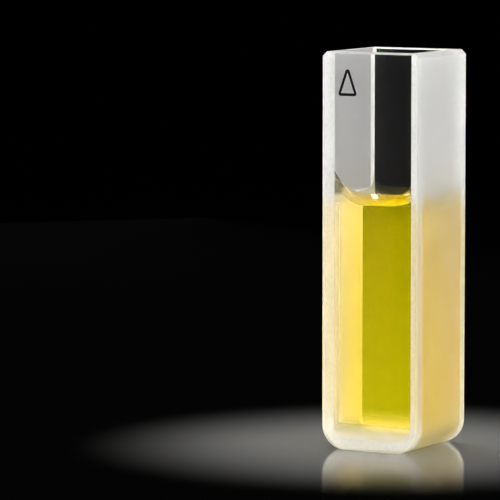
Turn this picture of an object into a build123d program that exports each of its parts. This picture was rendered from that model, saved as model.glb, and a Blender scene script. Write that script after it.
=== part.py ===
from build123d import *
from math import pi, sin
import os

# Square fused-quartz cuvette, open at the top, holding a yellow sample. Millimetres.
# The cell is three pieces of quartz fused together: a U-shaped frame that is ground on its
# outside, and a polished window plate on its front and on its back. Light passes along Y.
# The origin is the middle of the foot and +Z is up.

# Cavity: its length along the light, and its width between the ground side walls
path_length = 10.0
cavity_width = 10.0
cavity_radius = 1.65

# Walls round the cavity
window_thickness = 1.25
side_wall = 1.25
floor_thickness = 1.25

# Outside of the cell
cell_height = 46.5
foot_radius = 2.9
top_corner_cut = 0.55
edge_bevel = 0.2

# Sample: height of the middle of its surface, how far it climbs at the windows and at the side
# walls, and how much further in a corner, with the front left corner wetted higher than the rest
sample_level = 28.15
window_climb = 1.9
side_climb = 1.6
corner_climb = 1.3
front_left_climb = 2.5

# Shape of that climb: the part of it that is a shallow bowl, and how steep the rest is, where a
# higher power keeps the climb closer to the wall or the corner
bowl_share = 0.4
climb_power = 8
corner_power = 10
front_left_power = 3

# Grid of the sample's surface, which runs a little past the walls before they trim it
surface_margin = 0.02
surface_points = 25

cell_width = cavity_width + 2 * side_wall
wall_to_middle = path_length / 2


def cell_outline(plane):
    """Outline of all three quartz pieces: rounded at the foot, cut at the top corners."""
    with BuildSketch(plane) as outline:
        Rectangle(cell_width, cell_height, align=(Align.CENTER, Align.MIN))
        fillet(outline.vertices().group_by(Axis.Y)[0], foot_radius)
        chamfer(outline.vertices().group_by(Axis.Y)[-1], top_corner_cut)
    return outline.sketch


def cavity_outline(plane):
    """Section of the cavity: a floor with rounded corners, straight walls and an open mouth."""
    with BuildSketch(plane) as outline:
        with Locations((0, floor_thickness)):
            Rectangle(cavity_width, cell_height - floor_thickness, align=(Align.CENTER, Align.MIN))
        fillet(outline.vertices().group_by(Axis.Y)[0], cavity_radius)
    return outline.sketch


def climb(place, length):
    """Climb of the liquid at a place between two walls, from 0 half way up to 1 at either wall.

    With s as the share of the way to the wall, it is a shallow bowl that goes as the square of s,
    and a steep rise next to the wall that goes as a high power of s.
    """
    share = abs(2 * place / length)
    return bowl_share * share**2 + (1 - bowl_share) * share**climb_power


def surface_height(x, y):
    """Height of the sample's surface, which climbs at each wall and more where two walls meet.

    The climb at the side walls fades out as that at the windows takes over, so that the liquid
    meets a window along a level line. The climb in a corner goes as a power of the shares of the
    way to its two walls.
    """
    at_window = climb(y, path_length)
    at_side_wall = climb(x, cavity_width) * (1 - at_window)
    at_front_left = x < 0 and y < 0
    lift = front_left_climb if at_front_left else corner_climb
    power = front_left_power if at_front_left else corner_power
    in_corner = abs(4 * x * y / (cavity_width * path_length)) ** power
    at_walls = window_climb * at_window + side_climb * at_side_wall
    return sample_level + at_walls + lift * in_corner


def across(length):
    """Places from just outside one wall to just outside the other, closer together by the walls.

    They are the sines of even steps, so that the grid is finest where the surface is steepest.
    """
    reach = length / 2 + surface_margin
    steps = [2 * step / (surface_points - 1) - 1 for step in range(surface_points)]
    return [reach * sin(step * pi / 2) for step in steps]


# U-shaped frame: two side walls and the floor in one piece, as deep as the light path is long
with BuildPart() as u_frame:
    extrude(cell_outline(Plane.front), amount=wall_to_middle, both=True)
    extrude(cavity_outline(Plane.front), amount=wall_to_middle, both=True, mode=Mode.SUBTRACT)

u_frame.part.label = "u_frame"

os.makedirs("parts", exist_ok=True)
export_step(u_frame.part, "parts/u_frame.step")

# Windows: flat plates fused to the frame, with a fine bevel round the face that looks outwards
for side, facing in (("front", Plane.front), ("back", Plane.back)):
    with BuildPart() as window:
        extrude(cell_outline(facing.offset(wall_to_middle)), amount=window_thickness)
        outer_face = window.faces().sort_by(Axis((0, 0, 0), facing.z_dir))[-1]
        chamfer(outer_face.edges(), edge_bevel)
    window.part.label = f"{side}_window"
    export_step(window.part, f"parts/{side}_window.step")

# Sample: it fills the cavity from the floor and the walls up to its curved surface
surface = Face.make_surface_from_array_of_points(
    [[(x, y, surface_height(x, y)) for y in across(path_length)] for x in across(cavity_width)],
    min_deg=3,
)

with BuildPart() as sample:
    extrude(cavity_outline(Plane.front), amount=wall_to_middle, both=True)
    extrude(surface, amount=cell_height, dir=(0, 0, 1), mode=Mode.SUBTRACT)

sample.part.label = "sample"
export_step(sample.part, "parts/sample.step")
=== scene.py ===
"""Square fused-quartz cuvette, open at the top, holding a yellow sample.

Each finished piece replaces the CAD node of the same name. Lengths are in millimetres here and are
turned to metres where a mesh, a lamp or the camera is made. The cell stands on z = 0, light passes
through it along Y, and the marked window faces -Y.
"""

from math import cos, pi, radians, sin, sqrt

import bmesh
import bpy
import numpy as np
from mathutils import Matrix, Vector


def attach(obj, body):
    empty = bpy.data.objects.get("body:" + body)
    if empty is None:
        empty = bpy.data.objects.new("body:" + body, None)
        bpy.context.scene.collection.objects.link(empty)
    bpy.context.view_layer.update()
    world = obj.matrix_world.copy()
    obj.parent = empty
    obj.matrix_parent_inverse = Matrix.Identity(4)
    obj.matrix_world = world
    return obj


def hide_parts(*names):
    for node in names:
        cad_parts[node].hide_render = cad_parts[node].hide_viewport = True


MM = 0.001

# The cell, as in the CAD
half_cell = 6.25
cell_height = 46.5
half_cavity = 5.0
wall = 1.25
cavity_radius = 1.65
top_corner_cut = 0.55
edge_bevel = 0.2

# The sample: height of the middle of its surface, and how it climbs at the walls and the corners
sample_level = 28.15
window_climb = 1.9
side_climb = 1.6
corner_climb = 1.3
front_left_climb = 2.5
bowl_share = 0.4
climb_power = 8
corner_power = 10
front_left_power = 3

# The sample reaches this far into the quartz, so that light crosses from one to the other with
# no film of air between them
wetting_overlap = 0.02

# The frame stops this far short of each window, so that no two of their faces share one plane
joint_gap = 0.01

# Centres of the cavity's rounded floor corners, which the foot's corners share
corner_x = half_cavity - cavity_radius
corner_z = wall + cavity_radius

# Grid steps round a quarter circle, across the flat of the floor, along the sample and the frame
# from front to back, and up the sample
arc_steps = 32
flat_steps = 28
depth_steps = 72
frame_steps = 8
height_steps = 12

# Extra rows of points up a side wall: just above its floor corner, half way, and below its cut
row_above_corner, middle_row, row_below_cut = 0.4, 24.0, 1.0

# Two faces that meet at more than this angle have a sharp edge between them
sharp_angle = radians(30)

# Orientation mark: a triangle in a box on the front window, its line, its film of enamel, its
# rounded corners and the steps round each of them
mark_left, mark_right = -4.2, -1.6
mark_bottom, mark_top = 41.4, 45.1
mark_line = 0.32
mark_film = 0.015
mark_corner = 0.3
mark_steps = 12

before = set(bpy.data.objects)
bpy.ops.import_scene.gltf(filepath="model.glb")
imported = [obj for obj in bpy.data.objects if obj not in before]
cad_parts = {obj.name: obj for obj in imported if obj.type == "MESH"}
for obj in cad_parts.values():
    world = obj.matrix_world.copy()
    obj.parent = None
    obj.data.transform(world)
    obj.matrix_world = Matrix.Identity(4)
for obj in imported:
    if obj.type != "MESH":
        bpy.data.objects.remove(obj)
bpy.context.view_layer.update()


# Shapes

def climb(place, length):
    """Climb of the liquid between two walls, 0 half way and 1 at a wall.

    With s as the share of the way to the wall, it is a bowl that goes as s squared and a rise
    next to the wall that goes as s to a high power.
    """
    share = np.abs(2 * place / length)
    return bowl_share * share**2 + (1 - bowl_share) * share**climb_power


def surface_height(x, y):
    """Height of the sample: its level, plus the climb at the walls, plus the climb in the corner.

    The climb at the side walls fades out as that at the windows takes over. The climb in a corner
    goes as a power of the shares of the way to its two walls, and the front left corner is wetted
    higher than the rest.
    """
    at_window = climb(y, 2 * half_cavity)
    at_side_wall = climb(x, 2 * half_cavity) * (1 - at_window)
    at_front_left = (x < 0) & (y < 0)
    lift = np.where(at_front_left, front_left_climb, corner_climb)
    power = np.where(at_front_left, front_left_power, corner_power)
    in_corner = (np.abs(x * y) / half_cavity**2) ** power
    at_walls = window_climb * at_window + side_climb * at_side_wall
    return sample_level + at_walls + lift * in_corner


def floor_section(radius):
    """Rounded corner, flat and rounded corner of the cavity's floor, as x, z and the direction
    outwards. A corner is a quarter circle: its centre less radius times the cosine and sine."""
    turn = np.linspace(0, pi / 2, arc_steps + 1)
    flat = np.linspace(-corner_x, corner_x, flat_steps + 1)[1:-1]
    out_x = np.concatenate([-np.cos(turn), 0 * flat, np.cos(turn[::-1])])
    out_z = np.concatenate([-np.sin(turn), 0 * flat - 1, -np.sin(turn[::-1])])
    centre_x = np.concatenate([0 * turn - corner_x, flat, 0 * turn + corner_x])
    return centre_x + radius * out_x, corner_z + radius * out_z, out_x, out_z


def wall_levels(inset):
    """Heights of the rows of points up a side wall, from its floor corner to the top edge. The
    last two are the ends of the cut corner, which moves in with the inset as a mitre does."""
    cut_end = cell_height - top_corner_cut - (sqrt(2) - 1) * inset
    return np.array([
        corner_z, corner_z + row_above_corner, middle_row,
        cut_end - row_below_cut, cut_end, cell_height - inset,
    ])


def cavity_path(inset):
    """Cavity outline from the top of the left wall, down, across the floor and up the right wall,
    as points (x, z) and their outward directions."""
    levels = wall_levels(inset)[:0:-1]
    x, z, out_x, out_z = floor_section(cavity_radius)
    side = np.full(levels.shape, half_cavity)
    points = np.stack([
        np.concatenate([-side, x, side]),
        np.concatenate([levels, z, levels[::-1]]),
    ], 1)
    outward = np.stack([
        np.concatenate([0 * side - 1, out_x, 0 * side + 1]),
        np.concatenate([0 * side, out_z, 0 * side]),
    ], 1)
    return points, outward


def outer_path(inset):
    """Outer outline beside each point of the cavity's: one wall less the inset further out, and
    drawn in at the top to the end of the cut corner."""
    points, outward = cavity_path(inset)
    path = points + (wall - inset) * outward
    top_x = half_cell - top_corner_cut - (sqrt(2) - 1) * inset
    path[0, 0], path[-1, 0] = -top_x, top_x
    return path


def window_area(inset):
    """Area inside the cavity outline as a grid: each column runs from the floor up to the top."""
    levels = wall_levels(inset)
    share = (levels - levels[0]) / (levels[-1] - levels[0])
    x, z, _, _ = floor_section(cavity_radius)
    height = z[:, None] + share[None, :] * (levels[-1] - z[:, None])
    return np.stack([np.repeat(x[:, None], share.size, 1), height], -1)


def plate_edge(inset):
    """Closed outline of a window plate: the outer outline, and back along its top edge."""
    outer = outer_path(inset)
    top = window_area(inset)[:, -1]
    return np.concatenate([outer, top[::-1], outer[:1]])


def stood_at(flat, y):
    """Points (x, z) placed at one y."""
    return np.stack([flat[..., 0], np.full(flat.shape[:-1], float(y)), flat[..., 1]], -1)


def loft(*rings):
    """Grid whose columns are the outlines given, one after the other."""
    return np.stack(rings, 1)


def sample_skin(x, y, bottom):
    """Upright side of the sample: columns from its floor up to its surface at each (x, y)."""
    share = np.linspace(0, 1, height_steps + 1)
    height = bottom[:, None] + share[None, :] * (surface_height(x, y) - bottom)[:, None]
    return np.stack([x[:, None] + 0 * height, y[:, None] + 0 * height, height], -1)


def grid_faces(rows, columns, first):
    """Four corners of every cell of a grid of points, counted from first."""
    at = first + np.arange(rows * columns).reshape(rows, columns)
    return np.stack([at[:-1, :-1], at[1:, :-1], at[1:, 1:], at[:-1, 1:]], -1).reshape(-1, 4)


def piece(name, patches, materials):
    """Closed mesh from grids of points that meet along their edges, each with its finish.

    patches is a list of (grid of points in mm, number of its finish in materials).
    """
    sizes = [points.shape[0] * points.shape[1] for points, _ in patches]
    firsts = np.concatenate([[0], np.cumsum(sizes)[:-1]])
    corners = np.concatenate([points.reshape(-1, 3) for points, _ in patches]) * MM
    faces = [grid_faces(*points.shape[:2], first) for (points, _), first in zip(patches, firsts)]
    finish = np.concatenate([np.full(len(f), k) for f, (_, k) in zip(faces, patches)])
    mesh = bpy.data.meshes.new(name)
    mesh.from_pydata(corners.tolist(), [], np.concatenate(faces).tolist())
    mesh.polygons.foreach_set("material_index", finish.astype(np.int32))
    for material in materials:
        mesh.materials.append(material)
    work = bmesh.new()
    work.from_mesh(mesh)
    bmesh.ops.remove_doubles(work, verts=work.verts, dist=1e-7)
    bmesh.ops.recalc_face_normals(work, faces=work.faces)
    work.to_mesh(mesh)
    work.free()
    mesh.shade_smooth()
    mesh.set_sharp_from_angle(angle=sharp_angle)
    made = bpy.data.objects.new(name, mesh)
    bpy.context.scene.collection.objects.link(made)
    return made


def triangle_line(inset):
    """Closed outline of a triangle with rounded corners, moved in by the inset.

    Each corner is an arc about the corner of a smaller triangle, from the direction of the edge
    before it to that of the edge after it.
    """
    tips = np.array([
        [mark_left, mark_bottom], [mark_right, mark_bottom],
        [(mark_left + mark_right) / 2, mark_top],
    ])
    ahead = np.roll(tips, -1, 0) - tips
    ahead /= np.linalg.norm(ahead, axis=1)[:, None]
    outward = np.stack([ahead[:, 1], -ahead[:, 0]], 1)
    before = np.roll(outward, 1, 0)
    centres = tips - mark_corner * (before + outward) / (1 + (before * outward).sum(1))[:, None]
    start = np.arctan2(before[:, 1], before[:, 0])
    turn = np.mod(np.arctan2(outward[:, 1], outward[:, 0]) - start, 2 * pi)
    angle = start[:, None] + turn[:, None] * np.linspace(0, 1, mark_steps + 1)[None, :]
    arc = np.stack([np.cos(angle), np.sin(angle)], -1)
    line = (centres[:, None, :] + (mark_corner - inset) * arc).reshape(-1, 2)
    return np.concatenate([line, line[:1]])


# Materials

def linear(hex_colour):
    """sRGB hex colour as the linear colour that a shader takes."""
    parts = [int(hex_colour[i:i + 2], 16) / 255 for i in (1, 3, 5)]
    return [p / 12.92 if p <= 0.04045 else ((p + 0.055) / 1.055) ** 2.4 for p in parts] + [1.0]


def material(name):
    """Empty node material, its node tree and its output."""
    made = bpy.data.materials.new(name)
    made.use_nodes = True
    made.node_tree.nodes.clear()
    return made, made.node_tree, made.node_tree.nodes.new("ShaderNodeOutputMaterial")


def add(tree, kind, settings=None, values=None, links=None):
    """Adds a node: its settings, the values of its sockets, and the sockets that feed it."""
    node = tree.nodes.new(kind)
    for key, value in (settings or {}).items():
        setattr(node, key, value)
    for key, value in (values or {}).items():
        node.inputs[key].default_value = value
    for key, source in (links or {}).items():
        tree.links.new(source, node.inputs[key])
    return node


# A Map Range node goes from the value in socket 3 to that in socket 4 as its input goes from
# socket 1 to socket 2, here with a soft start and end
SMOOTH = {"interpolation_type": "SMOOTHSTEP"}

# A Mix node for colours mixes sockets 6 and 7, and gives the result as output 2
COLOUR = {"data_type": "RGBA"}

quartz_ior = 1.458
sample_ior = 1.336
clear_white = linear("#FFFFFF")
quartz_white = linear("#F4F4F2")
# Painted shade: the grey of the frosting inside the frame
painted_shade_grey = linear("#B6B6B6")

# Soft boxes fill more of what the faces mirror than small lamps do, so they mirror less than bare
# quartz would
polished_gloss = (0.4, 0.4, 0.4, 1.0)
ground_gloss = (0.3, 0.3, 0.3, 1.0)

# Roughness of a wiped face where it is least clean, of a fine ground face and of a ground one
wiped_roughness = 0.02
fine_roughness = 0.3
ground_roughness = 0.5

# Grinding and polishing, in mm. Pits of 0.02 mm are too fine to show, so the grain is drawn as
# coarse as it needs to show. The passes of the wheel leave wider patches, a little clearer or
# whiter than the rest, by this share
pit_width = 0.28
pit_depth = 0.006
patch_width = 3.5
patch_change = 0.05

# A wipe leaves streaks in the gloss of a polished face: their width and length in mm
wipe_width = 1.6
wipe_length = 9.0

# Bubbles in a fused seam, drawn as coarse as they need to show, in mm
bubble_width = 0.35

# Powder of the seams has run onto the quartz beside them: how far from the back seam it is white
# on the walls, where it ends there, and how high its haze is on a window; and how wide the haze is
# at the front window's left edge, where it is painted light, in mm
run_white, run_end = 0.85, 1.15
haze_top, haze_width = 4.0, 1.2

# Waves that a screen's mesh leaves in printed enamel, in mm
screen_mesh = 0.12
screen_depth = 0.004

# Heights between which a finish changes, in mm: from the coarse floor and bends of the cavity to
# its fine walls, from wetted to dry quartz, from the thick seam along the foot to the thin one
# above it, and where the haze at the front window's left edge ends
coarse_until, fine_from = 1.6, 3.4
wetted_until, dry_from = 29.4, 30.2
thick_until, thin_from = 1.4, 4.5
haze_until, haze_gone = 28.0, 29.6

# Share of the light in a milky layer that leaves on its own side: in the thick seam and in the
# thin one, in the haze, and inside the cell
thick_turned_back, thin_turned_back = 0.85, 0.55
haze_turned_back = 0.5
inner_turned_back = 0.5

# Light goes to and fro between the frosting and the dye more often than a render follows it, so
# the frosting is painted with a yellow tint that stands in for that light. The painted tint grows
# from this share at the foot up to these heights on ground faces and on the seams, and it goes
# back to white over this stretch about the fill line, in mm
glow_tint_at_foot = 0.15
ground_glow_tint_full_at, seam_glow_tint_full_at = 5.0, 9.0
glow_tint_until, glow_tint_gone_from = 27.4, 30.6
# Painted cream tint of the seams, standing in for the dye's light
painted_seam_glow_tint = linear("#F6EDD0")

# Some of the dye's glow is caught inside the quartz, runs along it and leaves at its unpolished
# parts. A render doesn't follow that, so they are given a painted glow: the left seam most, the
# haze, and ground faces, where it fades out between these heights in mm
seam_glow = (1.0, 0.90, 0.62, 1.0)
seam_strength, haze_strength = 0.08, 0.22
ground_glow = (1.0, 0.66, 0.05, 1.0)
glow_full, glow_gone = 4.0, 25.0


def polished_quartz():
    """Fused quartz, ground and then polished to an optical finish.

    It is as clear as water, with sharp reflections that a wipe has left very slightly streaked.
    """
    made, tree, out = material("polished fused quartz")
    place = add(tree, "ShaderNodeTexCoord")
    upright = add(tree, "ShaderNodeMapping", values={
        "Scale": (1 / (wipe_width * MM), 1 / (wipe_width * MM), 1 / (wipe_length * MM)),
    }, links={"Vector": place.outputs["Object"]})
    streaks = add(tree, "ShaderNodeTexNoise", values={"Scale": 1.0, "Detail": 2.0}, links={
        "Vector": upright.outputs[0],
    })
    roughness = add(tree, "ShaderNodeMapRange", values={
        1: 0.5, 2: 0.8, 3: 0.0, 4: wiped_roughness,
    }, links={0: streaks.outputs[0]})
    shader = add(tree, "ShaderNodeBsdfPrincipled", values={
        "Base Color": clear_white,
        "Transmission Weight": 1.0,
        "IOR": quartz_ior,
        "Specular Tint": polished_gloss,
    }, links={"Roughness": roughness.outputs[0]})
    tree.links.new(shader.outputs["BSDF"], out.inputs["Surface"])
    return made


def ground_quartz(name, milky_share, turned_back, painted_glow_tint, caught):
    """Fused quartz as the grinding wheel leaves it, with fine pits all over.

    The eye sees an even white frosting with a fine grain: partly a rough clear surface, and
    partly a milky one, because light is scattered among the pits. From the foot up to the fill
    line the milky part is painted with the colour given, a yellow tint that stands in for the
    dye's light.
    turned_back is the share of the milky light that leaves on its own side, and caught the
    strength of the painted glow that stands in for the dye's light running down inside the quartz
    and leaving near the foot.
    """
    made, tree, out = material(name)
    place = add(tree, "ShaderNodeTexCoord")
    split = add(tree, "ShaderNodeSeparateXYZ", links={0: place.outputs["Object"]})
    # Share of the painted tint for the dye's light: it grows up from the foot and goes back to
    # white about the fill line
    rising = add(tree, "ShaderNodeMapRange", SMOOTH, {
        1: 0.0, 2: ground_glow_tint_full_at * MM, 3: glow_tint_at_foot, 4: 1.0,
    }, links={0: split.outputs["Z"]})
    falling = add(tree, "ShaderNodeMapRange", SMOOTH, {
        1: glow_tint_until * MM, 2: glow_tint_gone_from * MM, 3: 1.0, 4: 0.0,
    }, links={0: split.outputs["Z"]})
    glow_tint_share = add(tree, "ShaderNodeMath", {"operation": "MINIMUM"}, links={
        0: rising.outputs[0], 1: falling.outputs[0],
    })
    colour = add(tree, "ShaderNodeMix", COLOUR, {6: quartz_white, 7: painted_glow_tint}, links={
        0: glow_tint_share.outputs[0],
    })
    pits = add(tree, "ShaderNodeTexNoise", values={
        "Scale": 1 / (pit_width * MM), "Detail": 2.0,
    }, links={"Vector": place.outputs["Object"]})
    bump = add(tree, "ShaderNodeBump", values={"Distance": pit_depth * MM}, links={
        "Height": pits.outputs[0],
    })
    rough = add(tree, "ShaderNodeBsdfPrincipled", values={
        "Base Color": clear_white,
        "Transmission Weight": 1.0,
        "Roughness": ground_roughness,
        "IOR": quartz_ior,
        "Specular Tint": ground_gloss,
    }, links={"Normal": bump.outputs[0]})
    through = add(tree, "ShaderNodeBsdfTranslucent", links={
        "Color": colour.outputs[2], "Normal": bump.outputs[0],
    })
    white = add(tree, "ShaderNodeBsdfDiffuse", links={
        "Color": colour.outputs[2], "Normal": bump.outputs[0],
    })
    milky = add(tree, "ShaderNodeMixShader", values={0: turned_back}, links={
        1: through.outputs[0], 2: white.outputs[0],
    })
    patches = add(tree, "ShaderNodeTexNoise", values={
        "Scale": 1 / (patch_width * MM), "Detail": 3.0,
    }, links={"Vector": place.outputs["Object"]})
    share = add(tree, "ShaderNodeMapRange", values={
        1: 0.3, 2: 0.7, 3: milky_share - patch_change, 4: milky_share + patch_change,
    }, links={0: patches.outputs[0]})
    mixed = add(tree, "ShaderNodeMixShader", links={
        0: share.outputs[0], 1: rough.outputs[0], 2: milky.outputs[0],
    })
    # Painted glow for the dye's light caught in the quartz, strongest near the foot
    towards_foot = add(tree, "ShaderNodeMapRange", values={
        1: glow_full * MM, 2: glow_gone * MM, 3: caught, 4: 0.0,
    }, links={0: split.outputs["Z"]})
    strength = add(tree, "ShaderNodeMath", {"operation": "MULTIPLY"}, links={
        0: towards_foot.outputs[0], 1: rising.outputs[0],
    })
    glow = add(tree, "ShaderNodeEmission", values={"Color": ground_glow}, links={
        "Strength": strength.outputs[0],
    })
    lit = add(tree, "ShaderNodeAddShader", links={0: mixed.outputs[0], 1: glow.outputs[0]})
    tree.links.new(lit.outputs[0], out.inputs["Surface"])
    return made


def inner_quartz():
    """Inside of the frame: fused quartz, fine ground, and wetted by the sample.

    Its milky frosting is painted a soft grey as shade, and painted lighter towards the right wall.
    Dry, above the liquid, that frosting shows. The liquid fills the pits and makes it nearly
    clear, but the floor and its bends, which only the edge of a wheel can reach, stay coarse and
    milky.
    """
    made, tree, out = material("fine ground fused quartz")
    place = add(tree, "ShaderNodeTexCoord")
    split = add(tree, "ShaderNodeSeparateXYZ", links={0: place.outputs["Object"]})
    pits = add(tree, "ShaderNodeTexNoise", values={
        "Scale": 1 / (pit_width * MM), "Detail": 2.0,
    }, links={"Vector": place.outputs["Object"]})
    bump = add(tree, "ShaderNodeBump", values={"Distance": 0.5 * pit_depth * MM}, links={
        "Height": pits.outputs[0],
    })
    rough = add(tree, "ShaderNodeBsdfPrincipled", values={
        "Base Color": clear_white,
        "Transmission Weight": 1.0,
        "Roughness": fine_roughness,
        "IOR": quartz_ior,
        "Specular Tint": polished_gloss,
    }, links={"Normal": bump.outputs[0]})
    # Painted light: the frosting goes from its painted grey shade on the left to lighter on the
    # right wall. The back seam's powder is white
    painted_light_to_right = add(tree, "ShaderNodeMapRange", values={
        1: -half_cavity * MM, 2: half_cavity * MM, 3: 0.0, 4: 0.3,
    }, links={0: split.outputs["X"]})
    by_back_seam = add(tree, "ShaderNodeMapRange", SMOOTH, {
        1: (half_cavity - run_end) * MM, 2: (half_cavity - run_white) * MM, 3: 0.0, 4: 1.0,
    }, links={0: split.outputs["Y"]})
    whiter = add(tree, "ShaderNodeMath", {"operation": "MAXIMUM"}, links={
        0: painted_light_to_right.outputs[0], 1: by_back_seam.outputs[0],
    })
    colour = add(tree, "ShaderNodeMix", COLOUR, {6: painted_shade_grey, 7: clear_white}, links={
        0: whiter.outputs[0],
    })
    through = add(tree, "ShaderNodeBsdfTranslucent", links={
        "Color": colour.outputs[2], "Normal": bump.outputs[0],
    })
    white = add(tree, "ShaderNodeBsdfDiffuse", links={
        "Color": colour.outputs[2], "Normal": bump.outputs[0],
    })
    milky = add(tree, "ShaderNodeMixShader", values={0: inner_turned_back}, links={
        1: through.outputs[0], 2: white.outputs[0],
    })
    dry = add(tree, "ShaderNodeMapRange", SMOOTH, {
        1: wetted_until * MM, 2: dry_from * MM, 3: 0.0, 4: 1.0,
    }, links={0: split.outputs["Z"]})
    floor_and_bends = add(tree, "ShaderNodeMapRange", SMOOTH, {
        1: coarse_until * MM, 2: fine_from * MM, 3: 0.95, 4: 0.1,
    }, links={0: split.outputs["Z"]})
    share = add(tree, "ShaderNodeMath", {"operation": "MAXIMUM"}, links={
        0: dry.outputs[0], 1: floor_and_bends.outputs[0],
    })
    mixed = add(tree, "ShaderNodeMixShader", links={
        0: share.outputs[0], 1: rough.outputs[0], 2: milky.outputs[0],
    })
    tree.links.new(mixed.outputs[0], out.inputs["Surface"])
    return made


def sintered_joint():
    """Seam between a window and the frame: quartz powder, melted to fuse the two together.

    It leaves a milky layer with fine bubbles in it, which lets a little light straight through.
    It is at its thickest and whitest along the foot. Higher up, to the fill line, it is painted
    cream for the dye's light, and it gives off a painted glow, most at the left.
    """
    made, tree, out = material("sintered quartz joint")
    place = add(tree, "ShaderNodeTexCoord")
    split = add(tree, "ShaderNodeSeparateXYZ", links={0: place.outputs["Object"]})
    # Share of the painted cream tint for the dye's light, from the foot up to the fill line
    rising = add(tree, "ShaderNodeMapRange", SMOOTH, {
        1: 0.0, 2: seam_glow_tint_full_at * MM, 3: glow_tint_at_foot, 4: 1.0,
    }, links={0: split.outputs["Z"]})
    falling = add(tree, "ShaderNodeMapRange", SMOOTH, {
        1: glow_tint_until * MM, 2: glow_tint_gone_from * MM, 3: 1.0, 4: 0.0,
    }, links={0: split.outputs["Z"]})
    glow_tint_share = add(tree, "ShaderNodeMath", {"operation": "MINIMUM"}, links={
        0: rising.outputs[0], 1: falling.outputs[0],
    })
    colour = add(tree, "ShaderNodeMix", COLOUR, {6: quartz_white, 7: painted_seam_glow_tint}, links={
        0: glow_tint_share.outputs[0],
    })
    clear = add(tree, "ShaderNodeBsdfTransparent")
    through = add(tree, "ShaderNodeBsdfTranslucent", links={"Color": colour.outputs[2]})
    white = add(tree, "ShaderNodeBsdfDiffuse", links={"Color": colour.outputs[2]})
    turned_back = add(tree, "ShaderNodeMapRange", SMOOTH, {
        1: thick_until * MM, 2: thin_from * MM, 3: thick_turned_back, 4: thin_turned_back,
    }, links={0: split.outputs["Z"]})
    milky = add(tree, "ShaderNodeMixShader", links={
        0: turned_back.outputs[0], 1: through.outputs[0], 2: white.outputs[0],
    })
    bubbles = add(tree, "ShaderNodeTexNoise", values={
        "Scale": 1 / (bubble_width * MM), "Detail": 2.0,
    }, links={"Vector": place.outputs["Object"]})
    share = add(tree, "ShaderNodeMapRange", values={1: 0.3, 2: 0.6, 3: 0.92, 4: 1.0}, links={
        0: bubbles.outputs[0],
    })
    mixed = add(tree, "ShaderNodeMixShader", links={
        0: share.outputs[0], 1: clear.outputs[0], 2: milky.outputs[0],
    })
    # Painted glow for the dye's light, strongest at the left seam and gone above the fill line
    to_left = add(tree, "ShaderNodeMapRange", values={
        1: -half_cavity * MM, 2: half_cavity * MM, 3: seam_strength, 4: 0.0,
    }, links={0: split.outputs["X"]})
    strength = add(tree, "ShaderNodeMath", {"operation": "MULTIPLY"}, links={
        0: to_left.outputs[0], 1: falling.outputs[0],
    })
    glow = add(tree, "ShaderNodeEmission", values={"Color": seam_glow}, links={
        "Strength": strength.outputs[0],
    })
    lit = add(tree, "ShaderNodeAddShader", links={0: mixed.outputs[0], 1: glow.outputs[0]})
    tree.links.new(lit.outputs[0], out.inputs["Surface"])
    return made


def window_by_seam():
    """Inside of a window: polished quartz, with a milky haze where the seam's powder has run.

    The haze fades up from the foot. It fades in from the left too, on the front window and below
    the fill line: there it is painted light, a milky sheet put where the dye's light falls. The
    haze gives off a painted glow.
    """
    made, tree, out = material("polished fused quartz with a milky edge")
    place = add(tree, "ShaderNodeTexCoord")
    split = add(tree, "ShaderNodeSeparateXYZ", links={0: place.outputs["Object"]})
    at_foot = add(tree, "ShaderNodeMapRange", SMOOTH, {
        1: wall * MM, 2: haze_top * MM, 3: 0.95, 4: 0.0,
    }, links={0: split.outputs["Z"]})
    # At the left of the front window, below the fill line, the haze is painted light for the dye's
    # glow
    at_left = add(tree, "ShaderNodeMapRange", SMOOTH, {
        1: -half_cavity * MM, 2: (haze_width - half_cavity) * MM, 3: 0.55, 4: 0.0,
    }, links={0: split.outputs["X"]})
    below = add(tree, "ShaderNodeMapRange", SMOOTH, {
        1: haze_until * MM, 2: haze_gone * MM, 3: 1.0, 4: 0.0,
    }, links={0: split.outputs["Z"]})
    in_front = add(tree, "ShaderNodeMath", {"operation": "LESS_THAN"}, {1: 0.0}, links={
        0: split.outputs["Y"],
    })
    wetted = add(tree, "ShaderNodeMath", {"operation": "MULTIPLY"}, links={
        0: below.outputs[0], 1: in_front.outputs[0],
    })
    painted_light_at_left = add(tree, "ShaderNodeMath", {"operation": "MULTIPLY"}, links={
        0: at_left.outputs[0], 1: wetted.outputs[0],
    })
    share = add(tree, "ShaderNodeMath", {"operation": "MAXIMUM"}, links={
        0: at_foot.outputs[0], 1: painted_light_at_left.outputs[0],
    })
    clear = add(tree, "ShaderNodeBsdfPrincipled", values={
        "Base Color": clear_white,
        "Transmission Weight": 1.0,
        "Roughness": 0.0,
        "IOR": quartz_ior,
        "Specular Tint": polished_gloss,
    })
    through = add(tree, "ShaderNodeBsdfTranslucent", values={"Color": clear_white})
    white = add(tree, "ShaderNodeBsdfDiffuse", values={"Color": clear_white})
    turned_back = add(tree, "ShaderNodeMapRange", SMOOTH, {
        1: thick_until * MM, 2: thin_from * MM, 3: thick_turned_back, 4: haze_turned_back,
    }, links={0: split.outputs["Z"]})
    milky = add(tree, "ShaderNodeMixShader", links={
        0: turned_back.outputs[0], 1: through.outputs[0], 2: white.outputs[0],
    })
    mixed = add(tree, "ShaderNodeMixShader", links={
        0: share.outputs[0], 1: clear.outputs[0], 2: milky.outputs[0],
    })
    # Painted glow of the haze, for the dye's light
    strength = add(tree, "ShaderNodeMath", {"operation": "MULTIPLY"}, {
        1: haze_strength,
    }, links={0: share.outputs[0]})
    glow = add(tree, "ShaderNodeEmission", values={"Color": seam_glow}, links={
        "Strength": strength.outputs[0],
    })
    lit = add(tree, "ShaderNodeAddShader", links={0: mixed.outputs[0], 1: glow.outputs[0]})
    tree.links.new(lit.outputs[0], out.inputs["Surface"])
    return made


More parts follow.
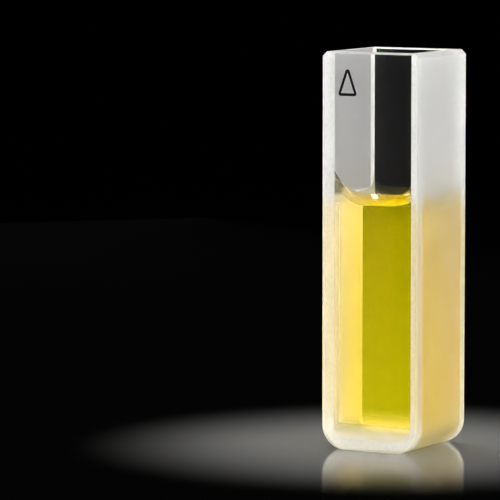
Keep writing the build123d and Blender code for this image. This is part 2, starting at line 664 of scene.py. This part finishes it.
def inside_of_joint():
    """End of the frame behind that seam, where one piece of quartz goes on into the other."""
    made, tree, out = material("quartz fused through")
    clear = add(tree, "ShaderNodeBsdfTransparent")
    tree.links.new(clear.outputs[0], out.inputs["Surface"])
    return made


def yellow_sample():
    """Yellow fluorescent dye in water: it takes the blue out of light, and is given a painted
    yellow-green glow.

    The painted glow is strongest low in the cell and weakest under the surface, and it shines even
    with no lamp. What the dye takes out is worked out along the light's way through it, and the
    skin adds the little that white light loses where it goes in and out. The skin on top is
    painted darker, as shade for the long slant through the dye along which it is seen.
    """
    made, tree, out = material("yellow dye solution")
    faces = add(tree, "ShaderNodeNewGeometry")
    turned = add(tree, "ShaderNodeSeparateXYZ", links={0: faces.outputs["Normal"]})
    # The skin is painted darker where it faces up, as shade
    painted_shade_top = add(tree, "ShaderNodeMapRange", values={1: 0.05, 2: 0.3, 3: 0.0, 4: 1.0}, links={
        0: turned.outputs["Z"],
    })
    skin = add(tree, "ShaderNodeMix", COLOUR, {
        6: (1.0, 0.94, 0.85, 1.0), 7: (0.60, 0.60, 0.55, 1.0),
    }, links={0: painted_shade_top.outputs[0]})
    shader = add(tree, "ShaderNodeBsdfPrincipled", values={
        "Transmission Weight": 1.0,
        "Roughness": 0.0,
        "IOR": sample_ior,
    }, links={"Base Color": skin.outputs[2]})
    absorb = add(tree, "ShaderNodeVolumeAbsorption", values={
        "Color": (1.0, 0.85, 0.0, 1.0),
        "Density": 140.0,
    })
    scatter = add(tree, "ShaderNodeVolumeScatter", values={
        "Color": (0.93, 1.0, 0.0, 1.0),
        "Density": 30.0,
    })
    # Strength of the painted glow, from low in the cell to under the surface, and how much it
    # drops there
    place = add(tree, "ShaderNodeTexCoord")
    split = add(tree, "ShaderNodeSeparateXYZ", links={0: place.outputs["Object"]})
    by_height = add(tree, "ShaderNodeMapRange", values={
        1: 4.0 * MM, 2: 27.0 * MM, 3: 37.0, 4: 20.0,
    }, links={0: split.outputs["Z"]})
    near_surface = add(tree, "ShaderNodeMapRange", SMOOTH, {
        1: 26.0 * MM, 2: 30.0 * MM, 3: 1.0, 4: 0.45,
    }, links={0: split.outputs["Z"]})
    strength = add(tree, "ShaderNodeMath", {"operation": "MULTIPLY"}, links={
        0: by_height.outputs[0], 1: near_surface.outputs[0],
    })
    glow = add(tree, "ShaderNodeEmission", values={"Color": (0.91, 1.0, 0.008, 1.0)}, links={
        "Strength": strength.outputs[0],
    })
    haze = add(tree, "ShaderNodeAddShader", links={0: glow.outputs[0], 1: scatter.outputs[0]})
    both = add(tree, "ShaderNodeAddShader", links={0: absorb.outputs[0], 1: haze.outputs[0]})
    tree.links.new(shader.outputs["BSDF"], out.inputs["Surface"])
    tree.links.new(both.outputs[0], out.inputs["Volume"])
    return made


def black_enamel():
    """Black enamel, screened on and fired: a thin film with a soft gloss, fine waves in its face
    from the mesh of the screen, and a slightly uneven cover."""
    made, tree, out = material("fired black enamel")
    place = add(tree, "ShaderNodeTexCoord")
    waves = add(tree, "ShaderNodeTexNoise", values={
        "Scale": 1 / (screen_mesh * MM), "Detail": 2.0,
    }, links={"Vector": place.outputs["Object"]})
    bump = add(tree, "ShaderNodeBump", values={"Distance": screen_depth * MM}, links={
        "Height": waves.outputs[0],
    })
    roughness = add(tree, "ShaderNodeMapRange", values={1: 0.3, 2: 0.7, 3: 0.28, 4: 0.45}, links={
        0: waves.outputs[0],
    })
    cover = add(tree, "ShaderNodeMix", COLOUR, {
        6: linear("#050506"), 7: linear("#0E0E0F"),
    }, links={0: waves.outputs[0]})
    shader = add(tree, "ShaderNodeBsdfPrincipled", values={
        "Specular IOR Level": 0.25,
    }, links={
        "Base Color": cover.outputs[2],
        "Roughness": roughness.outputs[0],
        "Normal": bump.outputs[0],
    })
    tree.links.new(shader.outputs["BSDF"], out.inputs["Surface"])
    return made


def studio_floor():
    """Plain studio board with a satin sheen, and a painted pool of light round the cell: the
    board's colour and its sheen are painted to fall off to dark from the pool's edge to its end,
    whose distances are in mm."""
    pool_edge, pool_end = 4.0, 40.0
    made, tree, out = material("satin studio floor")
    place = add(tree, "ShaderNodeTexCoord")
    away = add(tree, "ShaderNodeVectorMath", {"operation": "LENGTH"}, links={
        0: place.outputs["Object"],
    })
    # Painted pool of light: the floor's colour and sheen fade to dark away from the cell
    painted_pool_falloff = add(tree, "ShaderNodeMapRange", {"interpolation_type": "SMOOTHERSTEP"}, {
        1: pool_edge * MM, 2: pool_end * MM, 3: 0.0, 4: 1.0,
    }, links={0: away.outputs["Value"]})
    colour = add(tree, "ShaderNodeMix", COLOUR, {
        6: linear("#6E6E6C"), 7: linear("#030303"),
    }, links={0: painted_pool_falloff.outputs[0]})
    sheen = add(tree, "ShaderNodeMix", COLOUR, {
        6: linear("#A8A8A8"), 7: linear("#020202"),
    }, links={0: painted_pool_falloff.outputs[0]})
    matt = add(tree, "ShaderNodeBsdfDiffuse", links={"Color": colour.outputs[2]})
    gloss = add(tree, "ShaderNodeBsdfGlossy", values={"Roughness": 0.05}, links={
        "Color": sheen.outputs[2],
    })
    both = add(tree, "ShaderNodeAddShader", links={0: matt.outputs[0], 1: gloss.outputs[0]})
    tree.links.new(both.outputs[0], out.inputs["Surface"])
    return made


# Finishes of a quartz piece: towards the cavity, outside, at the seam, and a window's outer face
INSIDE, GROUND, JOINT, POLISHED = 0, 1, 2, 3
# A ground finish takes its milky share, its share turned back, a painted tint for the dye's light
# and the strength of its painted glow
frame_finishes = [
    inner_quartz(),
    ground_quartz("ground fused quartz side", 0.8, 0.05, linear("#F4E4B8"), 0.11),
    inside_of_joint(),
]
plate_finishes = [
    window_by_seam(),
    ground_quartz("ground fused quartz edge", 0.95, 0.12, linear("#F6F0DC"), 0.05),
    sintered_joint(),
    polished_quartz(),
]

# U-shaped frame: its outer skin is ground and its cavity fine ground, and its two ends, which are
# fused to the windows, show nothing
inner, _ = cavity_path(0)
outer = outer_path(0)
depth = np.linspace(joint_gap - half_cavity, half_cavity - joint_gap, frame_steps + 1)
outlines = [
    (outer, GROUND),
    (inner, INSIDE),
    (np.stack([inner[0], outer[0]]), GROUND),
    (np.stack([inner[-1], outer[-1]]), GROUND),
]
u_frame = piece("u_frame_quartz", [
    *[(loft(*[stood_at(line, y) for y in depth]), finish) for line, finish in outlines],
    *[(loft(stood_at(inner, y), stood_at(outer, y)), JOINT) for y in (depth[0], depth[-1])],
], frame_finishes)
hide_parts("u_frame")
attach(u_frame, "root")

# Windows: polished on both faces, ground all round the edge and its fine bevel
bevelled, _ = cavity_path(edge_bevel)
for side, facing in (("front", -1), ("back", 1)):
    inside = facing * half_cavity
    shoulder = facing * (half_cell - edge_bevel)
    face = facing * half_cell
    window = piece(f"{side}_window_quartz", [
        (stood_at(window_area(0), inside), INSIDE),
        (loft(stood_at(inner, inside), stood_at(outer, inside)), JOINT),
        (loft(
            stood_at(plate_edge(0), inside),
            stood_at(plate_edge(0), shoulder),
            stood_at(plate_edge(edge_bevel), face),
        ), GROUND),
        (loft(stood_at(bevelled, face), stood_at(outer_path(edge_bevel), face)), POLISHED),
        (stood_at(window_area(edge_bevel), face), POLISHED),
    ], plate_finishes)
    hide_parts(f"{side}_window")
    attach(window, "root")

# Sample: its curved surface on top, its floor and its sides along the cavity
reach = half_cavity + wetting_overlap
sample_x, sample_z, _, _ = floor_section(cavity_radius + wetting_overlap)
sample_y = reach * np.sin(np.linspace(-pi / 2, pi / 2, depth_steps + 1))
across, along = np.meshgrid(sample_x, sample_y, indexing="ij")
sides = [
    sample_skin(0 * sample_y + x, sample_y, 0 * sample_y + corner_z) for x in (-reach, reach)
]
ends = [sample_skin(sample_x, 0 * sample_x + y, sample_z) for y in (-reach, reach)]
sample = piece("sample_liquid", [
    (np.stack([across, along, surface_height(across, along)], -1), 0),
    (np.stack([across, along, sample_z[:, None] + 0 * along], -1), 0),
    *[(skin, 0) for skin in sides + ends],
], [yellow_sample()])
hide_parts("sample")
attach(sample, "root")

# Orientation mark on the front window: a closed line with a flat top and bevelled sides
mark_back, mark_face = -half_cell, -half_cell - mark_film
mark = piece("orientation_mark", [
    (loft(
        stood_at(triangle_line(0), mark_back),
        stood_at(triangle_line(mark_film), mark_face),
        stood_at(triangle_line(mark_line - mark_film), mark_face),
        stood_at(triangle_line(mark_line), mark_back),
        stood_at(triangle_line(0), mark_back),
    ), 0),
], [black_enamel()])
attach(mark, "root")

# Floor, just below the foot so that the two don't share a plane
floor_drop = 0.02
floor_reach = 2500
floor_line = np.linspace(-floor_reach, floor_reach, 3)
floor_x, floor_y = np.meshgrid(floor_line, floor_line, indexing="ij")
floor = piece("floor", [(np.stack([floor_x, floor_y, 0 * floor_x - floor_drop], -1), 0)], [
    studio_floor(),
])

# Camera: where the photograph was taken from, well back, level with the cell's upper half
azimuth, elevation, distance = radians(27.361), radians(5.764), 486.07
focal_px, frame_px, sensor = 4145.78, 500, 36.0
target_right_px, target_down_px = 144.04, 4.49
target = Vector((0, 0, 22.5))
back = Vector((
    sin(azimuth) * cos(elevation), -cos(azimuth) * cos(elevation), sin(elevation),
))
right = Vector((cos(azimuth), sin(azimuth), 0))
up = back.cross(right)
eye = target + back * distance
px = distance / focal_px
aim = target - right * (target_right_px * px) + up * (target_down_px * px)
camera_data = bpy.data.cameras.new("camera")
camera_data.sensor_width = sensor
camera_data.lens = focal_px / frame_px * sensor
camera_data.clip_start, camera_data.clip_end = 0.01, 20
camera = bpy.data.objects.new("camera", camera_data)
camera.location = eye * MM
camera.rotation_euler = (aim - eye).to_track_quat("-Z", "Y").to_euler()
bpy.context.scene.collection.objects.link(camera)
bpy.context.scene.camera = camera

# Lamps: they face the middle of the cell, and their light falls in a cone of this angle
lamp_aim = Vector((0, 0, 30))
lamp_spread = radians(120)


def softbox(name, place, size, radiance, mirrored=False):
    """Rectangular soft lamp facing the cell, of a given brightness, that the camera doesn't see.

    One that isn't mirrored leaves no bright patch in the floor's sheen.
    """
    data = bpy.data.lights.new(name, "AREA")
    data.shape = "RECTANGLE"
    data.size, data.size_y = size[0] * MM, size[1] * MM
    data.energy = radiance * pi * data.size * data.size_y
    data.spread = lamp_spread
    lamp = bpy.data.objects.new(name, data)
    lamp.location = Vector(place) * MM
    lamp.rotation_euler = (lamp_aim - Vector(place)).to_track_quat("-Z", "Y").to_euler()
    lamp.visible_camera = False
    lamp.visible_glossy = mirrored
    bpy.context.scene.collection.objects.link(lamp)


# The front pair leaves a gap between its two lamps, where one looks out through both windows
softbox("left side", (-200, -20, 60), (160, 160), 1.1)
softbox("left back", (-200, 200, 60), (110, 120), 6.8)
softbox("overhead", (-40, 60, 300), (160, 160), 3.0, mirrored=True)
softbox("right front", (200, -120, 60), (140, 120), 4.0)
softbox("front low left", (-50, -200, 24), (70, 70), 8.0)
softbox("front low right", (67, -200, 24), (100, 70), 8.0)
softbox("right back", (130, 280, 50), (200, 200), 4.2)

# Surroundings: dark where they are seen, mirrored or looked through to, and faintly lit otherwise
world = bpy.data.worlds.new("studio")
bpy.context.scene.world = world
world.use_nodes = True
tree = world.node_tree
tree.nodes.clear()
rays = add(tree, "ShaderNodeLightPath")
seen = add(tree, "ShaderNodeMath", {"operation": "MAXIMUM"}, links={
    0: rays.outputs["Is Camera Ray"], 1: rays.outputs["Is Glossy Ray"],
})
seen_through = add(tree, "ShaderNodeMath", {"operation": "MAXIMUM"}, links={
    0: seen.outputs[0], 1: rays.outputs["Is Transmission Ray"],
})
around = add(tree, "ShaderNodeBackground", values={"Color": clear_white, "Strength": 0.01})
behind = add(tree, "ShaderNodeBackground", values={"Color": linear("#020202"), "Strength": 1.0})
mixed = add(tree, "ShaderNodeMixShader", links={
    0: seen_through.outputs[0], 1: around.outputs[0], 2: behind.outputs[0],
})
add(tree, "ShaderNodeOutputWorld", links={"Surface": mixed.outputs[0]})

bpy.context.scene.view_settings.view_transform = "Standard"

# Light crosses many faces of quartz and sample before it leaves the cell
cycles = bpy.context.scene.cycles
cycles.max_bounces = cycles.transmission_bounces = cycles.transparent_max_bounces = 24
cycles.volume_bounces = 2
